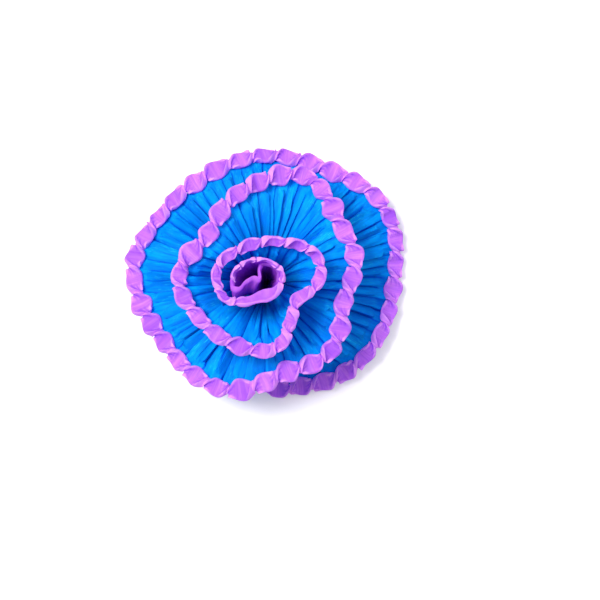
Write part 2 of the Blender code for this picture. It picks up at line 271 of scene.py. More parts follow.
def rim_path(winding, neck):
    """Radius, height and slope of the rim.

    The radius is an even spiral times the sway. The height is what a strip of fixed reach
    has left when it leans out that far, and sinks to low points in the last turn. The slope
    is that of the straight line from the neck, less a bend that grows with the slack.
    """
    even = smooth_through(EVEN_RADIUS, winding)
    radius = even * smooth_through(SWAY, winding)
    lean = even + SWAY_RISE * (radius - even) - neck
    reach = smooth_through(REACH, winding)
    free_height = NECK_HEIGHT + np.sqrt(np.maximum(reach ** 2 - lean ** 2, 0.0))
    wave = 0.5 - 0.5 * np.cos(np.radians(winding - DROOP_END) * LOW_POINTS)
    droop = ease((winding - DROOP_START) / (DROOP_END - DROOP_START))
    height = free_height * (1 - droop) + (RIM_LIFT + RIM_WAVE * wave) * droop
    out = radius - neck
    slack = np.maximum(1 - np.hypot(out, height - NECK_HEIGHT) / HEART_REACH, 0.0)
    bend = (RIM_BEND + SLACK_BEND * slack) * np.clip(out / BEND_REACH, 0.0, 1.0)
    slope = np.arctan2(height - NECK_HEIGHT, out) - np.radians(bend)
    slope = np.maximum(slope, math.radians(LOWEST_SLOPE))
    height = height - CURL_DROP * (1 - ease((winding - CURL_ENDS) / CURL_RISES))
    return radius, height, slope


def count_lobes():
    """Fine windings along the rim, the lobes counted up to each, and the lobe's size there.

    The count is the path's length over the lobe's own length, rounded to whole lobes.
    """
    winding = np.linspace(RING_START, BLUE_END, FINE_STEPS)
    radius, height, _ = rim_path(winding, edging_neck(winding))
    step = np.linalg.norm(np.diff(turned(winding, radius, height), axis=0), axis=1)
    size = 1 + (BIG_LOBE - 1) * np.exp(-((winding - BIG_LOBE_AT) / BIG_LOBE_SPREAD) ** 2)
    share = step / (LOBE_LENGTH * (size[1:] + size[:-1]) / 2)
    count = np.concatenate([[0.0], np.cumsum(share)])
    count = count * round(count[-1]) / count[-1]
    heart = count < RING_WAISTS[-1][0]
    return winding, np.where(heart, smooth_through(RING_WAISTS, count), count), size


FINE_WINDING, FINE_COUNT, FINE_SIZE = count_lobes()
LOBES = int(round(FINE_COUNT[-1]))
BLUE_COUNT = float(np.interp(BLUE_START, FINE_WINDING, FINE_COUNT))


def waist_saw(count):
    """Saw of one tooth a lobe: it climbs through the lobe and falls steeply at the waist."""
    turn = 2 * np.pi * count
    return -(np.sin(turn) + 0.45 * np.sin(2 * turn) + 0.2 * np.sin(3 * turn)) / 1.25


def rim_at(count):
    """The rim where so many lobes lie behind: winding, neck, radius, height and slope.

    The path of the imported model, with a sway and a toss of about a lobe's length that
    comes of twisting the edging by hand.
    """
    paper = bpy.context.scene.pom_pom_paper
    winding = np.interp(count, FINE_COUNT, FINE_WINDING)
    neck = edging_neck(winding)
    radius, height, slope = rim_path(winding, neck)
    settle = ease((winding - DROOP_START) / (DROOP_END - DROOP_START))
    radius = radius + paper.rim_sway * soft_noise(11, count * 0.85)
    toss = paper.rim_toss * (1 - TOSS_LOST * settle)
    height = height + toss * soft_noise(12, count * 0.8 + 0.3)
    slope = slope + RIM_TILT * soft_noise(13, count * 0.7)
    return winding, neck, radius, height, slope


def grid_faces(columns, rows):
    """Corner numbers of the quads of a grid."""
    index = np.arange(columns * rows).reshape(columns, rows)
    return np.stack([index[:-1, :-1], index[1:, :-1], index[1:, 1:], index[:-1, 1:]],
                    axis=-1).reshape(-1, 4)


def new_piece(name, points, faces, node, values=None, uv=None, sharp=45.0):
    """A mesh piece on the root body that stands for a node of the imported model.

    Values are numbers for each point, by name. The map has one place for each point.
    """
    mesh = bpy.data.meshes.new(name)
    mesh.from_pydata(points.tolist(), [], faces.tolist())
    corners = np.empty(len(mesh.loops), dtype=np.int32)
    mesh.loops.foreach_get("vertex_index", corners)
    if uv is not None:
        layer = mesh.uv_layers.new(name="paper")
        layer.data.foreach_set("uv", uv[corners].astype(np.float32).ravel())
    for key, value in (values or {}).items():
        attribute = mesh.attributes.new(key, "FLOAT", "POINT")
        attribute.data.foreach_set("value", value.astype(np.float32).ravel())
    mesh.shade_smooth()
    mesh.set_sharp_from_angle(angle=math.radians(sharp))
    mesh.update()
    item = bpy.data.objects.new(name, mesh)
    bpy.context.scene.collection.objects.link(item)
    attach(item, "root")
    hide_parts(node)
    return item


def walled(middle, wall, upside):
    """Points and faces of a closed sheet round its middle surface.

    The normal is the cross product of the two ways along the grid. Each side is half a
    wall off, and one loop of quads joins the two along the grid's border.
    """
    columns, rows = middle.shape[:2]
    normal = unit(np.cross(np.gradient(middle, axis=0), np.gradient(middle, axis=1))) * upside
    shift = normal * (np.broadcast_to(wall, (columns, rows)) / 2)[..., None]
    points = np.concatenate([(middle + shift).reshape(-1, 3), (middle - shift).reshape(-1, 3)])
    front = grid_faces(columns, rows)
    if upside < 0:
        front = front[:, ::-1]
    back = front[:, ::-1] + columns * rows
    index = np.arange(columns * rows).reshape(columns, rows)
    loop = np.concatenate([index[:, 0], index[-1, 1:], index[-2::-1, -1], index[0, -2:0:-1]])
    if upside > 0:
        loop = loop[::-1]
    rim = np.stack([loop, np.roll(loop, -1), np.roll(loop, -1) + columns * rows,
                    loop + columns * rows], axis=-1)
    return points, np.concatenate([front, back, rim])


def sheet_curve(neck_point, rise, rim_point, rim_way, share):
    """Cubic from the neck, straight up at first, to the rim, along the rim's own slope.

    Arrays have one row for each column of the sheet and one column for each share. Where
    the share is negative the sheet runs straight down to the foot.
    """
    v = np.clip(share, 0.0, 1.0)[..., None]
    first = neck_point + np.array([0.0, 0.0, NECK_HEIGHT])
    second = first + np.array([0.0, 0.0, rise])
    third = rim_point - rim_way * RIM_HANDLE
    curve = ((1 - v) ** 3 * first + 3 * (1 - v) ** 2 * v * second
             + 3 * (1 - v) * v ** 2 * third + v ** 3 * rim_point)
    curve[..., 2] += NECK_HEIGHT * np.minimum(share, 0.0)
    return curve


def petal_grid():
    """Pleat number of each column and share of the width of each row of the blue strip.

    Two pleats go to a lobe. Each has columns close together where it is folded.
    """
    in_pleat = np.array(PLEAT_COLUMNS)
    pleats = np.arange(math.ceil(2 * BLUE_COUNT), 2 * LOBES)
    number = (pleats[:, None] + in_pleat).ravel()
    number = np.concatenate([[2 * BLUE_COUNT], number, [2 * LOBES - 1e-6]])
    number = number[np.concatenate([[True], np.diff(number) > 0.02])]
    deep = np.linspace(0.0, 0.30, 6)[:-1]
    seen = np.linspace(0.30, 1.0, PETAL_ROWS)
    share = np.concatenate([[-1.0, -0.66, -0.33], deep, seen])
    return number, share


def knife(way, top):
    """Height of a pleat: it rises nearly straight to its top and falls more steeply."""
    return np.where(way < top, np.clip(way / top, 0.0, 1.0) ** 1.1,
                    np.clip((1 - way) / (1 - top), 0.0, 1.0) ** 0.9)


def petal_middle():
    """Middle surface of the blue strip, its map in mm, and its painted shade from 0 to 1.

    The smooth sheet is the cubic from the neck to the rim. Pleats, billows, the lift and
    dip beside each waist and a crinkle are added along the sheet's normal, and the ridges
    lean over their valleys along the winding.
    """
    paper = bpy.context.scene.pom_pom_paper
    number, share = petal_grid()
    g, v = np.meshgrid(number, share, indexing="ij")
    up = np.clip(v, 0.0, 1.0)
    pleat = np.floor(g).astype(int)
    way = g - pleat
    rng = np.random.default_rng(21)
    roll = rng.uniform(size=(3, 2 * LOBES + 2))
    turned_over = np.repeat(rng.uniform(size=LOBES + 1) < TURNED_OVER, 2)[pleat]
    drift = PLEAT_DRIFT * soft_noise(22, g * 0.6, up * 2.6) * (1 - up) ** 0.5 * ease(up / 0.3)
    drift = drift * ease((g - number[0]) / 3) * ease((number[-1] - g) / 3)
    count = np.clip((g + drift) / 2, BLUE_COUNT, LOBES - 1e-6)
    winding, neck, radius, height, slope = rim_at(count)
    dive = paper.edge_depth
    tuck = paper.edge_tuck
    rim_point = turned(winding, radius - np.cos(slope) * tuck + np.sin(slope) * dive,
                       height - np.sin(slope) * tuck - np.cos(slope) * dive)
    rim_way = turned(winding, np.cos(slope), np.sin(slope))
    smooth = sheet_curve(turned(winding, neck, 0.0), NECK_HANDLE, rim_point, rim_way, v)
    around = unit(np.gradient(smooth, axis=0))
    upward = unit(np.gradient(smooth, axis=1))
    normal = unit(np.cross(around, upward))
    gap = np.linalg.norm(np.gradient(smooth, axis=0), axis=-1) / np.gradient(number)[:, None]
    main = pleat % 2 == 1
    size = np.where(main, 0.45 + 0.85 * roll[0][pleat], 0.10 + 0.85 * roll[0][pleat] ** 2)
    ends = np.where(main, 0.88, 0.72) + 0.18 * (roll[1][pleat] - 0.5)
    fade = ease(up / 0.22) * (1 - ease((up - ends) / np.where(main, 0.12, 0.24)))
    deep = np.minimum(paper.pleat_depth * size * fade, PLEAT_ROOM * gap)
    deep = np.maximum(deep, PLEAT_LEAST * (1 - ease(up / 0.15)))
    top = np.array(PLEAT_TOPS)[rng.integers(0, 3, 2 * LOBES + 2)][pleat]
    ridge = knife(np.where(turned_over, 1 - way, way), np.where(turned_over, 1 - top, top))
    beside_bud = 1 - ease((winding - BUD_PASSED) / BUD_LEFT)
    lift = deep * (ridge - PLEAT_LEVEL - BUD_ROOM * beside_bud)
    inward = np.linalg.norm(rim_point - smooth, axis=-1)
    saw = waist_saw(count) * (inward / WAIST_FELT) * np.exp(1 - (inward / WAIST_FELT) ** 2)
    lift = lift + paper.waist_lift * saw * ease((up - 0.5) / 0.3) * (1 - beside_bud)
    billow = BILLOW * (1 - 0.6 * beside_bud) * soft_noise(23, g * 0.27, up * 3.0)
    lift = lift + billow * ease((up - 0.15) / 0.3)
    length = count * LOBE_LENGTH / MM
    fine = ease(up / 0.3) * (1 - 0.5 * ease((up - 0.9) / 0.1))
    lift = lift + paper.crinkle * fine * (
        0.6 * soft_noise(24, length / 1.5, up * STRIP_WIDTH / 6)
        + 0.9 * soft_noise(25, length / 3.1, up * STRIP_WIDTH / 11))
    lean = -paper.pleat_lean * (0.4 + 1.2 * roll[2][pleat]) * deep * (ridge - PLEAT_LEVEL)
    lean = np.where(turned_over, -lean, lean)
    off_waist = count - np.round(count)
    near = LOBE_COVER - WAIST_COVER * np.exp(-(off_waist / 0.12) ** 2)
    under_lobe = 1 - ease((inward - near) / COVER_EASE)
    lift = np.minimum(lift, lift * (1 - under_lobe)) - LOBE_DIP * under_lobe
    lean = lean * (1 - under_lobe)
    middle = smooth + normal * lift[..., None] - around * lean[..., None]
    # Painted shade: dark in each pleat's valley and towards the neck, where the turns shade each
    # other; some whole pleats are darker at random, partly dye, partly painted shade of facets
    # tilted from the light.
    crease = np.clip(1 - ridge / 0.35, 0, 1) * np.clip(deep / (0.8 * MM), 0, 1)
    crease = np.maximum(VALLEY_SHADE * crease, FOOT_SHADE * ease((0.66 - up) / 0.45))
    whole = PLEAT_DYE_AND_SHADE * roll[1][pleat] ** 2 * ease((up - 0.3) / 0.2)
    crease = np.maximum(crease, whole)
    return middle, np.stack([length, up * STRIP_WIDTH], axis=-1), crease, up


def lobe_edges(count):
    """The two edges of the twisted strip, across the rim for a half width of 1 and above
    it for a half rise of 1, and which of them crosses in front.

    From the middle of one lobe to the middle of the next, the front edge swings steeply
    from the inner side to the outer one. The back edge tapers to the waist, is tucked
    under the front one there, and comes out on the other side.
    """
    lobe = np.floor(count - 0.5)
    way = count - 0.5 - lobe
    off = np.abs(way - 0.5)
    front = np.sign(way - 0.5) * smooth_through(LOBE_SIDE, off)
    back = np.sign(0.5 - way) * smooth_through(LOBE_SIDE, 1 - off) * ease(off / BACK_DIVE)
    rise = np.sin(np.pi * way) ** 1.5
    return front, back, rise, np.where(lobe % 2 == 0, 1.0, -1.0)


def edging_skin():
    """Skin of the twisted edging, its map in mm, its edges, which get a painted highlight, and
    its painted shade, from 0 to 1.

    A flat ring with rolled edges is carried along the rim. It spans the two edges of the
    twisted strip, and is thin across a lobe and nearly round at a waist. Small folds run
    out of the waists. Painted shade lies behind the front edge, in the folds at a waist
    and, at random, on whole lobes, as on lobes turned from the light.
    """
    edging = bpy.context.scene.pom_pom_edging
    even = np.linspace(0.0, LOBES, LOBES * EDGING_RINGS + 1)
    count = even - RINGS_CLOSE * np.sin(2 * np.pi * even) / (2 * np.pi)
    winding, _, radius, height, slope = rim_at(count)
    path = turned(winding, radius, height)
    ahead = unit(np.gradient(path, axis=0))
    flatter = ease((winding - HEART_LIES) / HEART_LAID)
    slope = slope - flatter * LOBE_FLATTER * np.maximum(slope - LOBE_STEEPEST, 0.0)
    raised = flatter * LOBE_FLATTER * np.maximum(-LOBE_STEEPEST_DOWN - slope, 0.0)
    slope = slope + raised
    outward = turned(winding, np.cos(slope), np.sin(slope))
    outward = unit(outward - ahead * np.sum(outward * ahead, axis=-1, keepdims=True))
    above = np.cross(outward, ahead)
    above *= np.sign(np.sum(above * turned(winding, -np.sin(slope), np.cos(slope)),
                            axis=-1, keepdims=True))
    size = np.interp(winding, FINE_WINDING, FINE_SIZE)
    stray = LOBE_STRAY * soft_noise(37, count * 0.9)
    front, back, rise, swap = lobe_edges(count + stray)
    waist = (rise - 0.02) / 0.98
    share = smooth_through(LOBE_WIDTHS, winding)
    half = edging.lobe_width / 2 * size * share * (1 + WIDTH_STRAY * soft_noise(31, count + 0.5))
    lift = edging.waist_rise / 2 * (size * share) ** 0.5
    lift = lift * (1 + RISE_STRAY * soft_noise(32, count * 0.9))
    lift = lift * (HEART_RISE + (1 - HEART_RISE) * flatter)
    slant = edging.slant * soft_noise(33, count * 0.8)
    front_edge = np.stack([half * front, lift * rise - slant * half * front], axis=-1)
    dive = -BACK_DEPTH * lift * rise
    back_edge = np.stack([half * back, dive - slant * half * back], axis=-1)
    middle = (front_edge + back_edge) / 2
    span = (front_edge - back_edge) / 2 * swap[:, None]
    wide = np.linalg.norm(span, axis=-1, keepdims=True)
    over = np.stack([-span[:, 1], span[:, 0]], axis=-1) / np.maximum(wide, 0.05 * MM)
    plump = edging.lobe_depth + (edging.waist_depth - edging.lobe_depth) * ease(waist)
    plump = plump * share ** 0.5 * (HEART_PLUMP + (1 - HEART_PLUMP) * flatter)
    ends = 0.1 + 0.9 * np.minimum(ease(count / 0.3), ease((LOBES - count) / 0.3))
    around = np.arange(EDGING_SIDES) * 2 * np.pi / EDGING_SIDES
    side = np.cos(around)[None, :]
    reach = np.abs(side[0])
    rolled = 1 + edging.edge_roll * np.exp(-((reach - EDGE_AT) / EDGE_SPREAD) ** 2)
    lens = np.sign(np.sin(around)) * rolled * np.sqrt(np.maximum(1 - reach ** 10, 0.0))
    pinch = ease(waist)[:, None]
    pleats = np.cos(2 * np.pi * (2.1 * side + 3 * soft_noise(34, count)[:, None]))
    face = np.sign(np.sin(around))[None, :] * (1 - side ** 8)
    length = count[:, None] * LOBE_LENGTH / MM
    puff = 1 + PUFF_STRAY * soft_noise(38, count * 2.0)[:, None] * side
    deep = plump[:, None] / 2 * lens[None, :] * puff + face * edging.crease * (
        pleats * (0.25 + 0.75 * pinch)
        + 0.7 * soft_noise(35, length / 1.1, side * 1.6 + 7 * (face > 0))
        + 1.2 * soft_noise(36, length / 3.2, side * 1.3 + 9 * (face > 0)))
    ring = (middle[:, None] + (span[:, None] * side[..., None]
                               + over[:, None] * deep[..., None]) * ends[:, None, None])
    off = (edging.raise_off + half * raised)[:, None, None]
    skin = (path[:, None] + outward[:, None] * ring[..., :1]
            + above[:, None] * (ring[..., 1:] + off))
    skin[..., 2] = np.maximum(skin[..., 2], TABLE_CLEAR)
    # Painted highlight along the rolled edges, widest at a waist.
    edge = ease((reach[None, :] - 0.84 + 0.42 * pinch) / 0.16) * (0.40 + 0.60 * pinch)
    spread = around / (2 * np.pi) * EDGING_ROUND
    uv = np.stack(np.broadcast_arrays(length, spread[None, :]), axis=-1)
    # Painted shade on the face behind the front edge and in the folds at a waist.
    dish_shade = ease((side * swap[:, None] + 0.2) / 0.7) * ease(rise)[:, None]
    folded = np.clip(0.7 * dish_shade + pinch * (0.2 - 0.5 * pleats), 0, 1) * (1 - edge)
    # Painted shade on some whole lobes, at random, as on lobes turned from the light.
    roll = np.random.default_rng(39).uniform(size=LOBES + 1)
    tone = roll[np.clip(np.floor(count).astype(int), 0, LOBES)] ** 2
    folded = np.maximum(folded, LOBE_SHADE * tone[:, None] * (1 - 0.6 * edge))
    return skin, uv, edge, folded


def heart_middle():
    """Middle surface of the heart, its wall, map and depth.

    The rim runs through the folds' own knots and then along the ring, and a cubic joins
    it to the spiral of the neck. The wall swells to a roll along the folds' rim.
    """
    knots = np.array(HEART_FOLDS) * MM
    join = np.linspace(HEART_JOINS, HEART_END, HEART_RING_COLUMNS)
    count = np.interp(join, FINE_WINDING, FINE_COUNT)
    ring_winding, ring_neck, radius, height, slope = rim_at(count)
    tuck = bpy.context.scene.pom_pom_paper.edge_tuck
    ring = turned(ring_winding, radius - np.cos(slope) * tuck, height - np.sin(slope) * tuck)
    ring_way = turned(ring_winding, np.cos(slope), np.sin(slope))
    knots = np.concatenate([knots, ring[:1], ring[6:7]])
    reach = run_length(knots)
    at = np.linspace(0.0, reach[-2], HEART_FOLD_COLUMNS + 1)[:-1]
    folds = np.stack([smooth_through(np.stack([reach, knots[:, i]], axis=-1), at)
                      for i in range(3)], axis=-1)
    fold_winding = HEART_START + (HEART_JOINS - HEART_START) * at / reach[-2]
    winding = np.concatenate([fold_winding, join])
    neck = np.concatenate([neck_radius(fold_winding, HEART_START, HEART_NECK_RADIUS), ring_neck])
    rim = np.concatenate([folds, ring])
    foot = turned(winding, neck, 0.0)
    lean = unit(rim - foot - np.array([0.0, 0.0, NECK_HEIGHT]))
    steep = unit(lean + np.array([0.0, 0.0, FOLD_STEEP]))
    share = ease((winding - HEART_JOINS) / 30)[:, None]
    way = unit(steep * (1 - share) + np.concatenate([steep[:len(folds)], ring_way]) * share)
    along = np.concatenate([at / reach[-2], np.full(len(join), 2.0)])
    bulge, over = (ease((along - begins) / lasts) for begins, lasts in (BULGE_RISES, BULGE_FALLS))
    bulge = (bulge * (1 - over))[:, None]
    way = unit(way * (1 - bulge) + np.array(BUD_LEAN) * bulge)
    v = np.concatenate([[-1.0, -0.5], np.linspace(0.0, 1.0, HEART_ROWS)])
    middle = sheet_curve(foot[:, None], NECK_HANDLE, rim[:, None], way[:, None],
                         np.broadcast_to(v, (len(rim), len(v))))
    up = np.clip(v, 0.0, 1.0)[None, :]
    length = (run_length(rim) / MM)[:, None]
    normal = unit(np.cross(np.gradient(middle, axis=0), np.gradient(middle, axis=1)))
    folded = ease(up / 0.4)
    lift = MM * folded * (0.55 * soft_noise(41, length / 6.0, up * 3)
                          + 0.30 * soft_noise(42, length / 2.4, up * 5)
                          + 0.10 * soft_noise(43, length / 0.9, up * 10))
    lift = lift * (1 - 0.6 * ease((up - 0.9) / 0.1))
    middle = middle + normal * lift[..., None]
    roll = np.sqrt(np.clip(1 - ((up - (1 - ROLL_HALF)) / ROLL_HALF) ** 2, 0.0, 1.0))
    own_rim = 1 - ease((winding - HEART_JOINS + 20) / 60)[:, None]
    wall = HEART_WALL + (HEART_ROLL - HEART_WALL) * roll * own_rim \
        * (1 + 0.25 * soft_noise(44, length / 3.0))
    uv = np.stack(np.broadcast_arrays(length, up * STRIP_WIDTH), axis=-1)
    return middle, wall, uv, np.broadcast_to(up, wall.shape)


def heart_plug():
    """Points and faces of the heart's tightly rolled foot: a round bar with a domed top."""
    dome = np.linspace(0.0, 0.48 * np.pi, 8)
    height = NECK_HEIGHT + PLUG_RADIUS * np.sin(dome)
    radius = PLUG_FILL * np.cos(dome)
    height = np.concatenate([[0.0, 0.0], height])
    radius = np.concatenate([[0.9 * PLUG_FILL, PLUG_FILL], radius])
    winding = -np.linspace(0.0, 360.0, 33)[:-1]
    rings = turned(winding[None, :], radius[:, None], height[:, None])
    rings[1, :, 2] = 0.2 * MM
    foot, tip = np.zeros(3), np.array([0.0, 0.0, height[-1]])
    return capped(rings, foot, tip)


def wire_path():
    """Middle of the binding wire: level-pitched turns round the neck, then a bent tail."""
    ring = NECK_OUTSIDE + SEAT_GAP + WIRE_DIAMETER / 2
    pitch = WIRE_DIAMETER + WIRE_AIR
    angle = np.linspace(0, 2 * np.pi * WIRE_TURNS, WIRE_TURNS * 72 + 1)
    first_height = (NECK_HEIGHT - WIRE_TURNS * pitch) / 2
    coil = np.stack([ring * np.cos(angle), ring * np.sin(angle),
                     first_height + pitch * angle / (2 * np.pi)], axis=-1)
    way = np.linspace(0, 1, 25)[1:, None]
    tail = coil[-1] + WIRE_TAIL * np.concatenate(
        [0.55 * way ** 2, way - 0.25 * way ** 2, -0.30 * way ** 2], axis=1)
    return np.concatenate([coil, tail])


def tube(path, radius, sides):
    """Points and faces of a round tube: a circle carried along the path, with round ends."""
    ahead = unit(np.gradient(path, axis=0))
    side = unit(np.cross(ahead, np.array([0.0, 0.0, 1.0])))
    top = np.cross(ahead, side)
    around = np.arange(sides) * 2 * np.pi / sides
    circle = (side[:, None] * np.cos(around)[None, :, None]
              + top[:, None] * np.sin(around)[None, :, None])
    dome = np.linspace(0.0, np.pi / 2, 5)[1:-1]
    tip, start = path[-1] + ahead[-1] * radius, path[0] - ahead[0] * radius
    rings = [path[0] + circle[0] * radius * math.cos(a) - ahead[0] * radius * math.sin(a)
             for a in dome[::-1]]
    rings += list(path[:, None] + circle * radius)
    rings += [path[-1] + circle[-1] * radius * math.cos(a) + ahead[-1] * radius * math.sin(a)
              for a in dome]
    return capped(np.array(rings), start, tip)


def capped(rings, start, tip):
    """Points and faces of a run of rings closed by a fan of triangles at each end."""
    count, sides = rings.shape[:2]
    points = np.concatenate([rings.reshape(-1, 3), [start], [tip]])
    index = np.arange(sides)
    quads = closed_quads(count, sides)
    first = np.stack([np.full(sides, count * sides), (index + 1) % sides, index], axis=-1)
    last = (count - 1) * sides
    end = np.stack([np.full(sides, count * sides + 1), last + index,
                    last + (index + 1) % sides], axis=-1)
    faces = quads.tolist() + first.tolist() + end.tolist()
    return points, np.array(faces, dtype=object)


def closed_quads(count, sides):
    """Corner numbers of the quads between rings that close on themselves."""
    ring = np.arange(count * sides).reshape(count, sides)
    near, far = ring[:-1], ring[1:]
    return np.stack([near, np.roll(near, -1, axis=1), np.roll(far, -1, axis=1), far],
                    axis=-1).reshape(-1, 4)


class Nodes:
    """The node tree of a new material or world, with short calls that add nodes to it."""

    def __init__(self, owner):
        owner.use_nodes = True
        self.owner = owner
        self.tree = owner.node_tree
        self.tree.nodes.clear()

    def add(self, kind, inputs=None, **settings):
        """A node. Each input gets an output, or a plain value on its own socket."""
        node = self.tree.nodes.new(kind)
        for key, value in settings.items():
            setattr(node, key, value)
        for key, source in (inputs or {}).items():
            if isinstance(source, bpy.types.NodeSocket):
                self.tree.links.new(source, node.inputs[key])
            else:
                node.inputs[key].default_value = source
        return node

    def maths(self, operation, first, second=0.0, third=0.0, clamp=False):
        """Output of a Math node."""
        return self.add("ShaderNodeMath", {0: first, 1: second, 2: third},
                        operation=operation, use_clamp=clamp).outputs[0]

    def colours(self, share, first, second):
        """Mix of two colours by a share."""
        return self.add("ShaderNodeMix", {0: share, 6: first, 7: second},
                        data_type="RGBA").outputs[2]

    def value(self, name):
        """The piece's own number for each point."""
        return self.add("ShaderNodeAttribute", attribute_name=name).outputs["Fac"]

    def grain(self, wide, long, detail, offset=0.0):
        """Noise on the paper's map, drawn out along the width: sizes are in mm."""
        spread = self.add("ShaderNodeMapping", {
            "Vector": self.add("ShaderNodeUVMap", uv_map="paper").outputs[0],
            "Scale": (1 / wide, 1 / long, 1.0), "Location": (offset, offset * 0.7, 0.0)})
        noise = self.add("ShaderNodeTexNoise", {
            "Vector": spread.outputs[0], "Scale": 1.0, "Detail": detail, "Roughness": 0.55},
            noise_dimensions="2D")
        return noise.outputs["Fac"]

    def ramp(self, value, low, high):
        """The value's rise from 0 at low to 1 at high, held beyond them."""
        node = self.add("ShaderNodeMapRange", {
            "Value": value, "From Min": low, "From Max": high}, interpolation_type="SMOOTHSTEP")
        return node.outputs["Result"]

    def bump(self, height, distance):
        """Normal of a bumpy surface."""
        return self.add("ShaderNodeBump", {
            "Strength": 1.0, "Distance": distance, "Height": height}).outputs[0]

    def background_rays(self):
        """1 for the rays that show the white background: camera, gloss and glass."""
        rays = self.add("ShaderNodeLightPath").outputs
        return self.maths("MAXIMUM", rays["Is Camera Ray"], self.maths(
            "MAXIMUM", rays["Is Glossy Ray"], rays["Is Transmission Ray"]))

    def finish(self, shader):
        """The material, with this shader on its surface."""
        self.add("ShaderNodeOutputMaterial", {"Surface": shader.outputs[0]})
        return self.owner


def crepe(name, paper, edge_highlight, see_through):
    """Crepe paper: ribs drawn out across the strip with a painted highlight on their tops,
    soft clouds of dye, painted shade in folds and creases, a painted highlight along the
    edges, fine painted glints near the edge, and some light let through."""
    scene = bpy.context.scene
    colour, deep, pale = ((*getattr(scene.pom_pom_colours, paper + part), 1.0)
                          for part in ("", "_deep", "_pale"))
    fleck = (*getattr(scene.pom_pom_colours, paper + "_fleck", pale[:3]), 1.0)
    n = Nodes(bpy.data.materials.new(name))
    ribs = n.grain(0.75, 7.0, 3.0)
    fine = n.grain(0.32, 4.0, 2.0, offset=3.1)
    folds = n.grain(2.6, 18.0, 3.0, offset=7.7)
    clouds = n.grain(9.0, 16.0, 4.0, offset=1.3)
    edge = n.value("edge")
    # Paler on the ribs' tops: a painted highlight on the crepe's ribs.
    tone = n.colours(n.maths("MULTIPLY", n.ramp(ribs, 0.35, 0.72), 0.22), colour, pale)
    # Darker where the fold noise is low, in the bump's valleys: painted shade.
    fold_shade = n.maths("SUBTRACT", 1.0, n.ramp(folds, 0.38, 0.62))
    tone = n.colours(n.maths("MULTIPLY", fold_shade, 0.30), tone, deep)
    tone = n.colours(n.maths("MULTIPLY", n.ramp(clouds, 0.5, 0.8), 0.25), tone, pale)
    # Fine pale flecks near the edge, where the clouds are pale: painted glints.
    wear_and_glints = n.maths("MULTIPLY", n.ramp(fine, 0.57, 0.72), edge)
    wear_and_glints = n.maths("MULTIPLY", wear_and_glints, n.ramp(clouds, 0.42, 0.66))
    tone = n.colours(n.maths("MULTIPLY", wear_and_glints, 0.8), tone, fleck)
    # Darker by the piece's crease value: painted shade in creases and hollows, and on some whole
    # pleats and lobes.
    tone = n.colours(n.maths("MULTIPLY", n.value("crease"), 0.82, clamp=True), tone, deep)
    # Paler along the piece's edge value: a painted highlight on edges and rims.
    tone = n.colours(n.maths("MULTIPLY", edge, edge_highlight), tone, pale)
    richer = n.add("ShaderNodeGamma", {"Color": tone, "Gamma": 1.7})
    height = n.maths("ADD", n.maths("MULTIPLY", ribs, 0.55), n.maths("MULTIPLY", folds, 1.3))
    height = n.maths("ADD", height, n.maths("MULTIPLY", fine, 0.25))
    bump = n.bump(height, scene.pom_pom_paper.rib_height)
    shader = n.add("ShaderNodeBsdfPrincipled", {
        "Base Color": tone, "Roughness": n.maths("ADD", 0.56, n.maths("MULTIPLY", ribs, 0.18)),
        "Specular IOR Level": 0.06, "Normal": bump})
    through = n.add("ShaderNodeBsdfTranslucent", {"Color": richer.outputs[0], "Normal": bump})
    return n.finish(n.add("ShaderNodeMixShader", {
        0: see_through, 1: shader.outputs[0], 2: through.outputs[0]}))


def lacquer(name, colour):
    """Green lacquer on wire: fine drawn streaks, a few worn spots and a satin gloss."""
    n = Nodes(bpy.data.materials.new(name))
    place = n.add("ShaderNodeTexCoord").outputs["Object"]
    streaks = n.add("ShaderNodeTexNoise", {
        "Vector": place, "Scale": 900.0, "Detail": 4.0}).outputs["Fac"]
    wear_and_glints = n.maths("MULTIPLY", n.ramp(streaks, 0.62, 0.70), 0.6)
    return n.finish(n.add("ShaderNodeBsdfPrincipled", {
        "Base Color": n.colours(wear_and_glints, (*colour, 1.0), (0.16, 0.22, 0.15, 1.0)),
        "Roughness": n.maths("ADD", 0.30, n.maths("MULTIPLY", streaks, 0.25)),
        "Coat Weight": 0.3, "Normal": n.bump(streaks, 0.03 * MM)}))


def plain_floor(name, colour, strength):
    """White paper sweep that keeps shadows, and shows a share of white of its own."""
    n = Nodes(bpy.data.materials.new(name))
    return n.finish(n.add("ShaderNodeBsdfPrincipled", {
        "Base Color": (*colour, 1.0), "Roughness": 0.9, "Specular IOR Level": 0.1,
        "Emission Color": (1.0, 1.0, 1.0, 1.0),
        "Emission Strength": n.maths("MULTIPLY", n.background_rays(), strength)}))


def white_room(name, strength):
    """World that lights from all round, a little violet, and shows as plain white."""
    n = Nodes(bpy.data.worlds.new(name))
    seen = n.background_rays()
    back = n.add("ShaderNodeBackground", {
        "Color": n.colours(seen, (0.80, 0.78, 1.0, 1.0), (1.0, 1.0, 1.0, 1.0)),
        "Strength": n.maths("MULTIPLY_ADD", seen, 1.0 - strength, strength)})
    n.add("ShaderNodeOutputWorld", {"Surface": back.outputs[0]})
    return n.owner


def distance(name, description, default, low, high):
    """A setting that is a length, here in mm."""
    return FloatProperty(name=name, description=description, default=default * MM,
                         min=low * MM, max=high * MM, subtype="DISTANCE", unit="LENGTH")


def factor(name, description, default, high=1.0):
    """A setting that is a plain share or slope."""
    return FloatProperty(name=name, description=description, default=default,
                         min=0.0, max=high, subtype="FACTOR")


def brightness(name, description, default):
    """A setting that is a light's strength."""
    return FloatProperty(name=name, description=description, default=default,
                         min=0.0, max=10.0)


def dye(name, description, default):
    """A setting that is a colour."""
    return FloatVectorProperty(name=name, description=description, default=default,
                               size=3, min=0.0, max=1.0, subtype="COLOR")


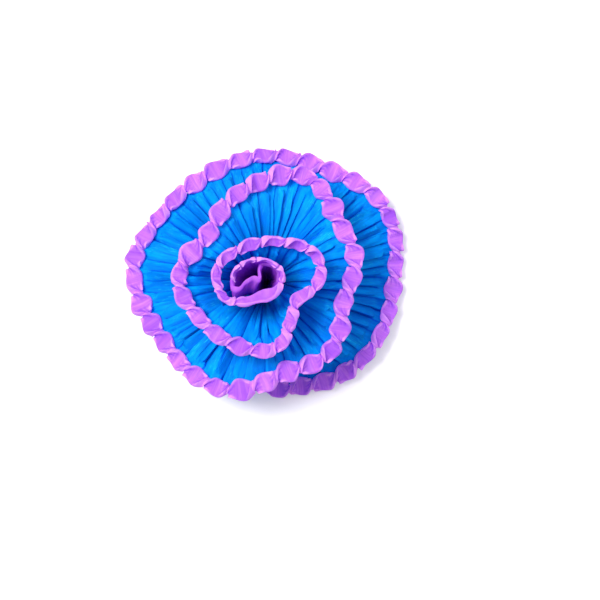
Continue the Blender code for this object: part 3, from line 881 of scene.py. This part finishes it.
class PomPomPaper(bpy.types.PropertyGroup):
    """Shape of the paper strips."""

    wall: distance("Paper", "Thickness of the crepe, with its ribs", 0.24, 0.1, 0.6)
    pleat_depth: distance(
        "Pleat depth", "Deepest a pleat of the blue strip may be", 4.2, 0.0, 6.0)
    pleat_lean: factor("Pleat lean", "How far a ridge leans over its valley", 0.55, 1.2)
    crinkle: distance("Crinkle", "Height of the paper's small dents", 0.22, 0.0, 0.5)
    rim_sway: distance(
        "Rim sway", "How far the rim wanders in and out between lobes", 0.55, 0.0, 2.0)
    rim_toss: distance(
        "Rim toss", "How far the rim wanders up and down between lobes", 0.8, 0.0, 2.0)
    waist_lift: distance(
        "Lift at a waist", "How far the rim lifts before a waist and dips after", 1.0, 0.0, 2.0)
    edge_depth: distance(
        "Edge depth", "How far the raw edge lies behind the edging's middle", 0.25, 0.0, 2.0)
    edge_tuck: distance(
        "Edge tuck", "How far the raw edge stops short of the edging's middle", 0.30, 0.0, 3.0)
    rib_height: distance(
        "Rib height", "Height of the crepe's ribs in the finish", 0.34, 0.0, 1.0)


class PomPomEdging(bpy.types.PropertyGroup):
    """Shape of the twisted edging."""

    lobe_width: distance("Lobe width", "Width of a flat lobe", 8.3, 2.0, 15.0)
    lobe_depth: distance("Lobe thickness", "Thickness of a lobe at its middle", 1.1, 0.5, 5.0)
    edge_roll: factor(
        "Edge roll", "How much thicker a lobe is along its rolled edges", 0.6, 2.0)
    waist_rise: distance("Waist rise", "Twice the rise of the front edge", 3.4, 1.0, 8.0)
    waist_depth: distance(
        "Waist thickness", "Thickness of the strip where it is twisted", 3.0, 0.5, 5.0)
    slant: factor("Slant", "How far a lobe may be tilted by hand, as a slope", 0.22)
    raise_off: distance(
        "Raise", "How far the edging's middle lies above the strip's", 0.80, 0.0, 2.0)
    crease: distance("Crease height", "Height of the small folds in a lobe", 0.14, 0.0, 0.5)


class PomPomColours(bpy.types.PropertyGroup):
    """Colours of the crepe, with its painted shade and painted highlights, and of the wire."""

    blue: dye("Blue", "Crepe of the wound strip", (0.0, 0.41, 1.0))
    # Painted shade of the blue strip: in its creases and fold valleys, towards the neck, and on
    # some whole pleats.
    blue_deep: dye(
        "Blue in creases", "Crepe of the wound strip where it is folded", (0.0, 0.030, 0.66))
    # Paler blue: soft clouds of dye, and a painted highlight on the ribs' tops.
    blue_pale: dye(
        "Blue on ribs", "Crepe of the wound strip where it is stretched", (0.0, 0.72, 1.0))
    # Painted glints: fine pale streaks near the blue strip's rim.
    blue_fleck: dye(
        "Blue in streaks", "Fine worn streaks near the wound strip's rim", (0.03, 0.80, 1.0))
    lilac: dye("Lilac", "Crepe of the edging", (0.73, 0.225, 0.98))
    # Painted shade of the edging: behind its front edges, in pinched folds, and on some whole
    # lobes.
    lilac_deep: dye(
        "Lilac in creases", "Crepe of the edging where it is pinched", (0.27, 0.05, 0.80))
    # Painted highlight along the edging's rolled edges and on the ribs' tops; also the paler dye
    # in soft clouds.
    lilac_pale: dye(
        "Lilac on edges", "Crepe of the edging along its sharp edges", (1.0, 0.50, 1.0))
    heart: dye("Heart", "Crepe of the rolled heart", (0.62, 0.11, 0.92))
    # Painted shade inside the heart, darker deeper in, and on its foot.
    heart_deep: dye("Heart's depth", "Crepe deep inside the heart", (0.42, 0.03, 0.66))
    # Painted highlight along the heart's rim and on the ribs' tops; also the paler dye in soft
    # clouds.
    heart_pale: dye("Heart's rim", "Crepe along the heart's rim", (0.88, 0.32, 1.0))
    wire: dye("Wire", "Lacquer of the binding wire", (0.02, 0.09, 0.04))


class PomPomStage(bpy.types.PropertyGroup):
    """Floor and light."""

    floor_size: distance("Floor", "Side of the square floor", 6000.0, 1000.0, 20000.0)
    key: brightness("Key light", "Strength of the light from the upper left", 3.2)
    fill: brightness("Fill light", "Strength of the light from the upper right", 0.6)
    top: brightness("Top light", "Strength of the light from straight above", 0.9)
    room: brightness("Room light", "Strength of the light from all round", 0.30)


class POMPOM_OT_petal_strip(bpy.types.Operator):
    """Make the blue strip: gathered at the neck, pleated and wound about three turns"""
    bl_idname = "pompom.petal_strip"
    bl_label = "Blue strip"

    def execute(self, context):
        paper = context.scene.pom_pom_paper
        middle, uv, crease, up = petal_middle()
        bound = 1 - ease(up / NECK_SHARE)
        points, faces = walled(middle, paper.wall + (NECK_FILL - paper.wall) * bound, -1)
        points[:, 2] = np.maximum(points[:, 2], 0.0)
        uv = np.tile(uv.reshape(-1, 2), (2, 1))
        crease = np.tile(crease.ravel(), 2)
        # Where the painted glints fall on the blue strip: towards its rim.
        rim = np.tile(ease((up.ravel() - 0.35) / 0.5), 2)
        item = new_piece("blue_crepe_strip", points, faces, "petal_strip",
                         {"crease": crease, "edge": rim}, uv, sharp=24.0)
        item.data.materials.append(crepe("blue_crepe", "blue", 0.0, 0.30))
        return {"FINISHED"}


class POMPOM_OT_edging_strip(bpy.types.Operator):
    """Make the lilac edging: flat lobes, each half a turn of twist from the next one"""
    bl_idname = "pompom.edging_strip"
    bl_label = "Lilac edging"

    def execute(self, context):
        skin, uv, edge, folded = edging_skin()
        points, faces = capped(skin, skin[0].mean(axis=0), skin[-1].mean(axis=0))
        tail = np.zeros(2)
        ends = np.array([[0.0, 0.0], [uv[-1, 0, 0], 0.0]])
        item = new_piece(
            "lilac_crepe_edging", points, faces, "edging_strip",
            {"crease": np.concatenate([folded.ravel(), tail]),
             "edge": np.concatenate([edge.ravel(), tail])},
            np.concatenate([uv.reshape(-1, 2), ends]), sharp=60.0)
        # 0.6: the painted highlight along the rolled edges.
        item.data.materials.append(crepe("lilac_crepe", "lilac", 0.6, 0.30))
        return {"FINISHED"}


class POMPOM_OT_heart_petal(bpy.types.Operator):
    """Make the lilac heart: a rolled strip with a fold inside its ring"""
    bl_idname = "pompom.heart_petal"
    bl_label = "Heart"

    def execute(self, context):
        middle, wall, uv, up = heart_middle()
        points, faces = walled(middle, wall, 1)
        plug_points, plug_faces = heart_plug()
        faces = faces.tolist() + [[i + len(points) for i in face] for face in plug_faces]
        points = np.concatenate([points, plug_points])
        faces = np.array(faces, dtype=object)
        plug_uv = plug_points[:, [0, 2]] / MM
        uv = np.concatenate([np.tile(uv.reshape(-1, 2), (2, 1)), plug_uv])
        in_plug = np.ones(len(plug_points))
        # Painted shade: darker deeper inside the heart, and all over its foot.
        deep = np.concatenate([np.tile(ease((0.93 - up.ravel()) / 0.40), 2), in_plug])
        # Painted highlight along the heart's rim.
        rim = np.concatenate([np.tile(ease((up.ravel() - 0.86) / 0.12), 2), 0 * in_plug])
        item = new_piece("heart_crepe_petal", points, faces, "heart_petal",
                         {"crease": deep, "edge": rim}, uv)
        # 0.6: the painted highlight along the heart's rim.
        item.data.materials.append(crepe("heart_crepe", "heart", 0.6, 0.50))
        return {"FINISHED"}


class POMPOM_OT_binding_wire(bpy.types.Operator):
    """Make the green wire that binds the neck"""
    bl_idname = "pompom.binding_wire"
    bl_label = "Binding wire"

    def execute(self, context):
        points, faces = tube(wire_path(), WIRE_DIAMETER / 2, 14)
        item = new_piece("green_binding_wire", points, faces, "binding_wire")
        item.data.materials.append(lacquer("green_lacquer", context.scene.pom_pom_colours.wire))
        return {"FINISHED"}


class POMPOM_OT_stage(bpy.types.Operator):
    """Make the floor, the lights and the camera"""
    bl_idname = "pompom.stage"
    bl_label = "Stage"

    def execute(self, context):
        stage = context.scene.pom_pom_stage
        half = stage.floor_size / 2
        corners = half * np.array([(-1, -1, 0), (1, -1, 0), (1, 1, 0), (-1, 1, 0)])
        mesh = bpy.data.meshes.new("floor")
        mesh.from_pydata((corners - (0, 0, FLOOR_DROP)).tolist(), [], [(0, 1, 2, 3)])
        floor = bpy.data.objects.new("floor", mesh)
        context.scene.collection.objects.link(floor)
        floor.data.materials.append(plain_floor("white_sweep", (0.86, 0.86, 0.86), 0.22))
        add_sun("key_light", stage.key, 24.0, (-62.0, 61.0))
        add_sun("fill_light", stage.fill, 60.0, (62.0, 35.0))
        add_sun("top_light", stage.top, 50.0, (20.0, 84.0))
        context.scene.world = white_room("studio", stage.room)
        context.scene.view_settings.view_transform = "Standard"
        add_camera()
        return {"FINISHED"}


def add_sun(name, strength, spread, direction):
    """A sun lamp of a soft edge, in degrees. Its direction is azimuth and elevation:
    azimuth 0 is north, +Y, and goes round by the east."""
    lamp = bpy.data.lights.new(name, "SUN")
    lamp.energy = strength
    lamp.angle = math.radians(spread)
    item = bpy.data.objects.new(name, lamp)
    azimuth, elevation = (math.radians(angle) for angle in direction)
    item.rotation_euler = (math.pi / 2 - elevation, 0.0, math.pi - azimuth)
    bpy.context.scene.collection.objects.link(item)


def add_camera():
    """The camera, with the top of its picture towards +Y."""
    data = bpy.data.cameras.new("camera")
    data.lens = CAMERA_LENS
    data.sensor_width = 36.0
    data.clip_start, data.clip_end = 0.05, 20.0
    item = bpy.data.objects.new("camera", data)
    tilt = math.radians(90.0 - CAMERA_ELEVATION)
    item.location = (AIM[0], AIM[1] - CAMERA_DISTANCE * math.sin(tilt),
                     AIM[2] + CAMERA_DISTANCE * math.cos(tilt))
    item.rotation_euler = (tilt, 0.0, 0.0)
    bpy.context.scene.collection.objects.link(item)
    bpy.context.scene.camera = item


class POMPOM_PT_panel(bpy.types.Panel):
    """Panel with the pom pom's pieces and settings"""
    bl_idname = "POMPOM_PT_panel"
    bl_label = "Tissue paper pom pom"
    bl_space_type = "VIEW_3D"
    bl_region_type = "UI"
    bl_category = "Pom pom"

    def draw(self, context):
        for operator in OPERATORS:
            self.layout.operator(operator.bl_idname)
        for group in GROUPS:
            settings = getattr(context.scene, group)
            box = self.layout.box()
            for name in settings.__annotations__:
                box.prop(settings, name)


GROUPS = {"pom_pom_paper": PomPomPaper, "pom_pom_edging": PomPomEdging,
          "pom_pom_colours": PomPomColours, "pom_pom_stage": PomPomStage}
OPERATORS = (POMPOM_OT_petal_strip, POMPOM_OT_edging_strip, POMPOM_OT_heart_petal,
             POMPOM_OT_binding_wire, POMPOM_OT_stage)


def register():
    """Registers the settings, the operators and the panel."""
    for item in (*GROUPS.values(), *OPERATORS, POMPOM_PT_panel):
        bpy.utils.register_class(item)
    for name, group in GROUPS.items():
        setattr(bpy.types.Scene, name, PointerProperty(type=group))


def unregister():
    """Takes back what register did."""
    for name in GROUPS:
        delattr(bpy.types.Scene, name)
    for item in (POMPOM_PT_panel, *OPERATORS, *GROUPS.values()):
        bpy.utils.unregister_class(item)


def main():
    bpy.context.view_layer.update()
    register()
    bpy.ops.pompom.petal_strip()
    bpy.ops.pompom.edging_strip()
    bpy.ops.pompom.heart_petal()
    bpy.ops.pompom.binding_wire()
    bpy.ops.pompom.stage()
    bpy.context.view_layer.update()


if __name__ == "__main__":
    main()
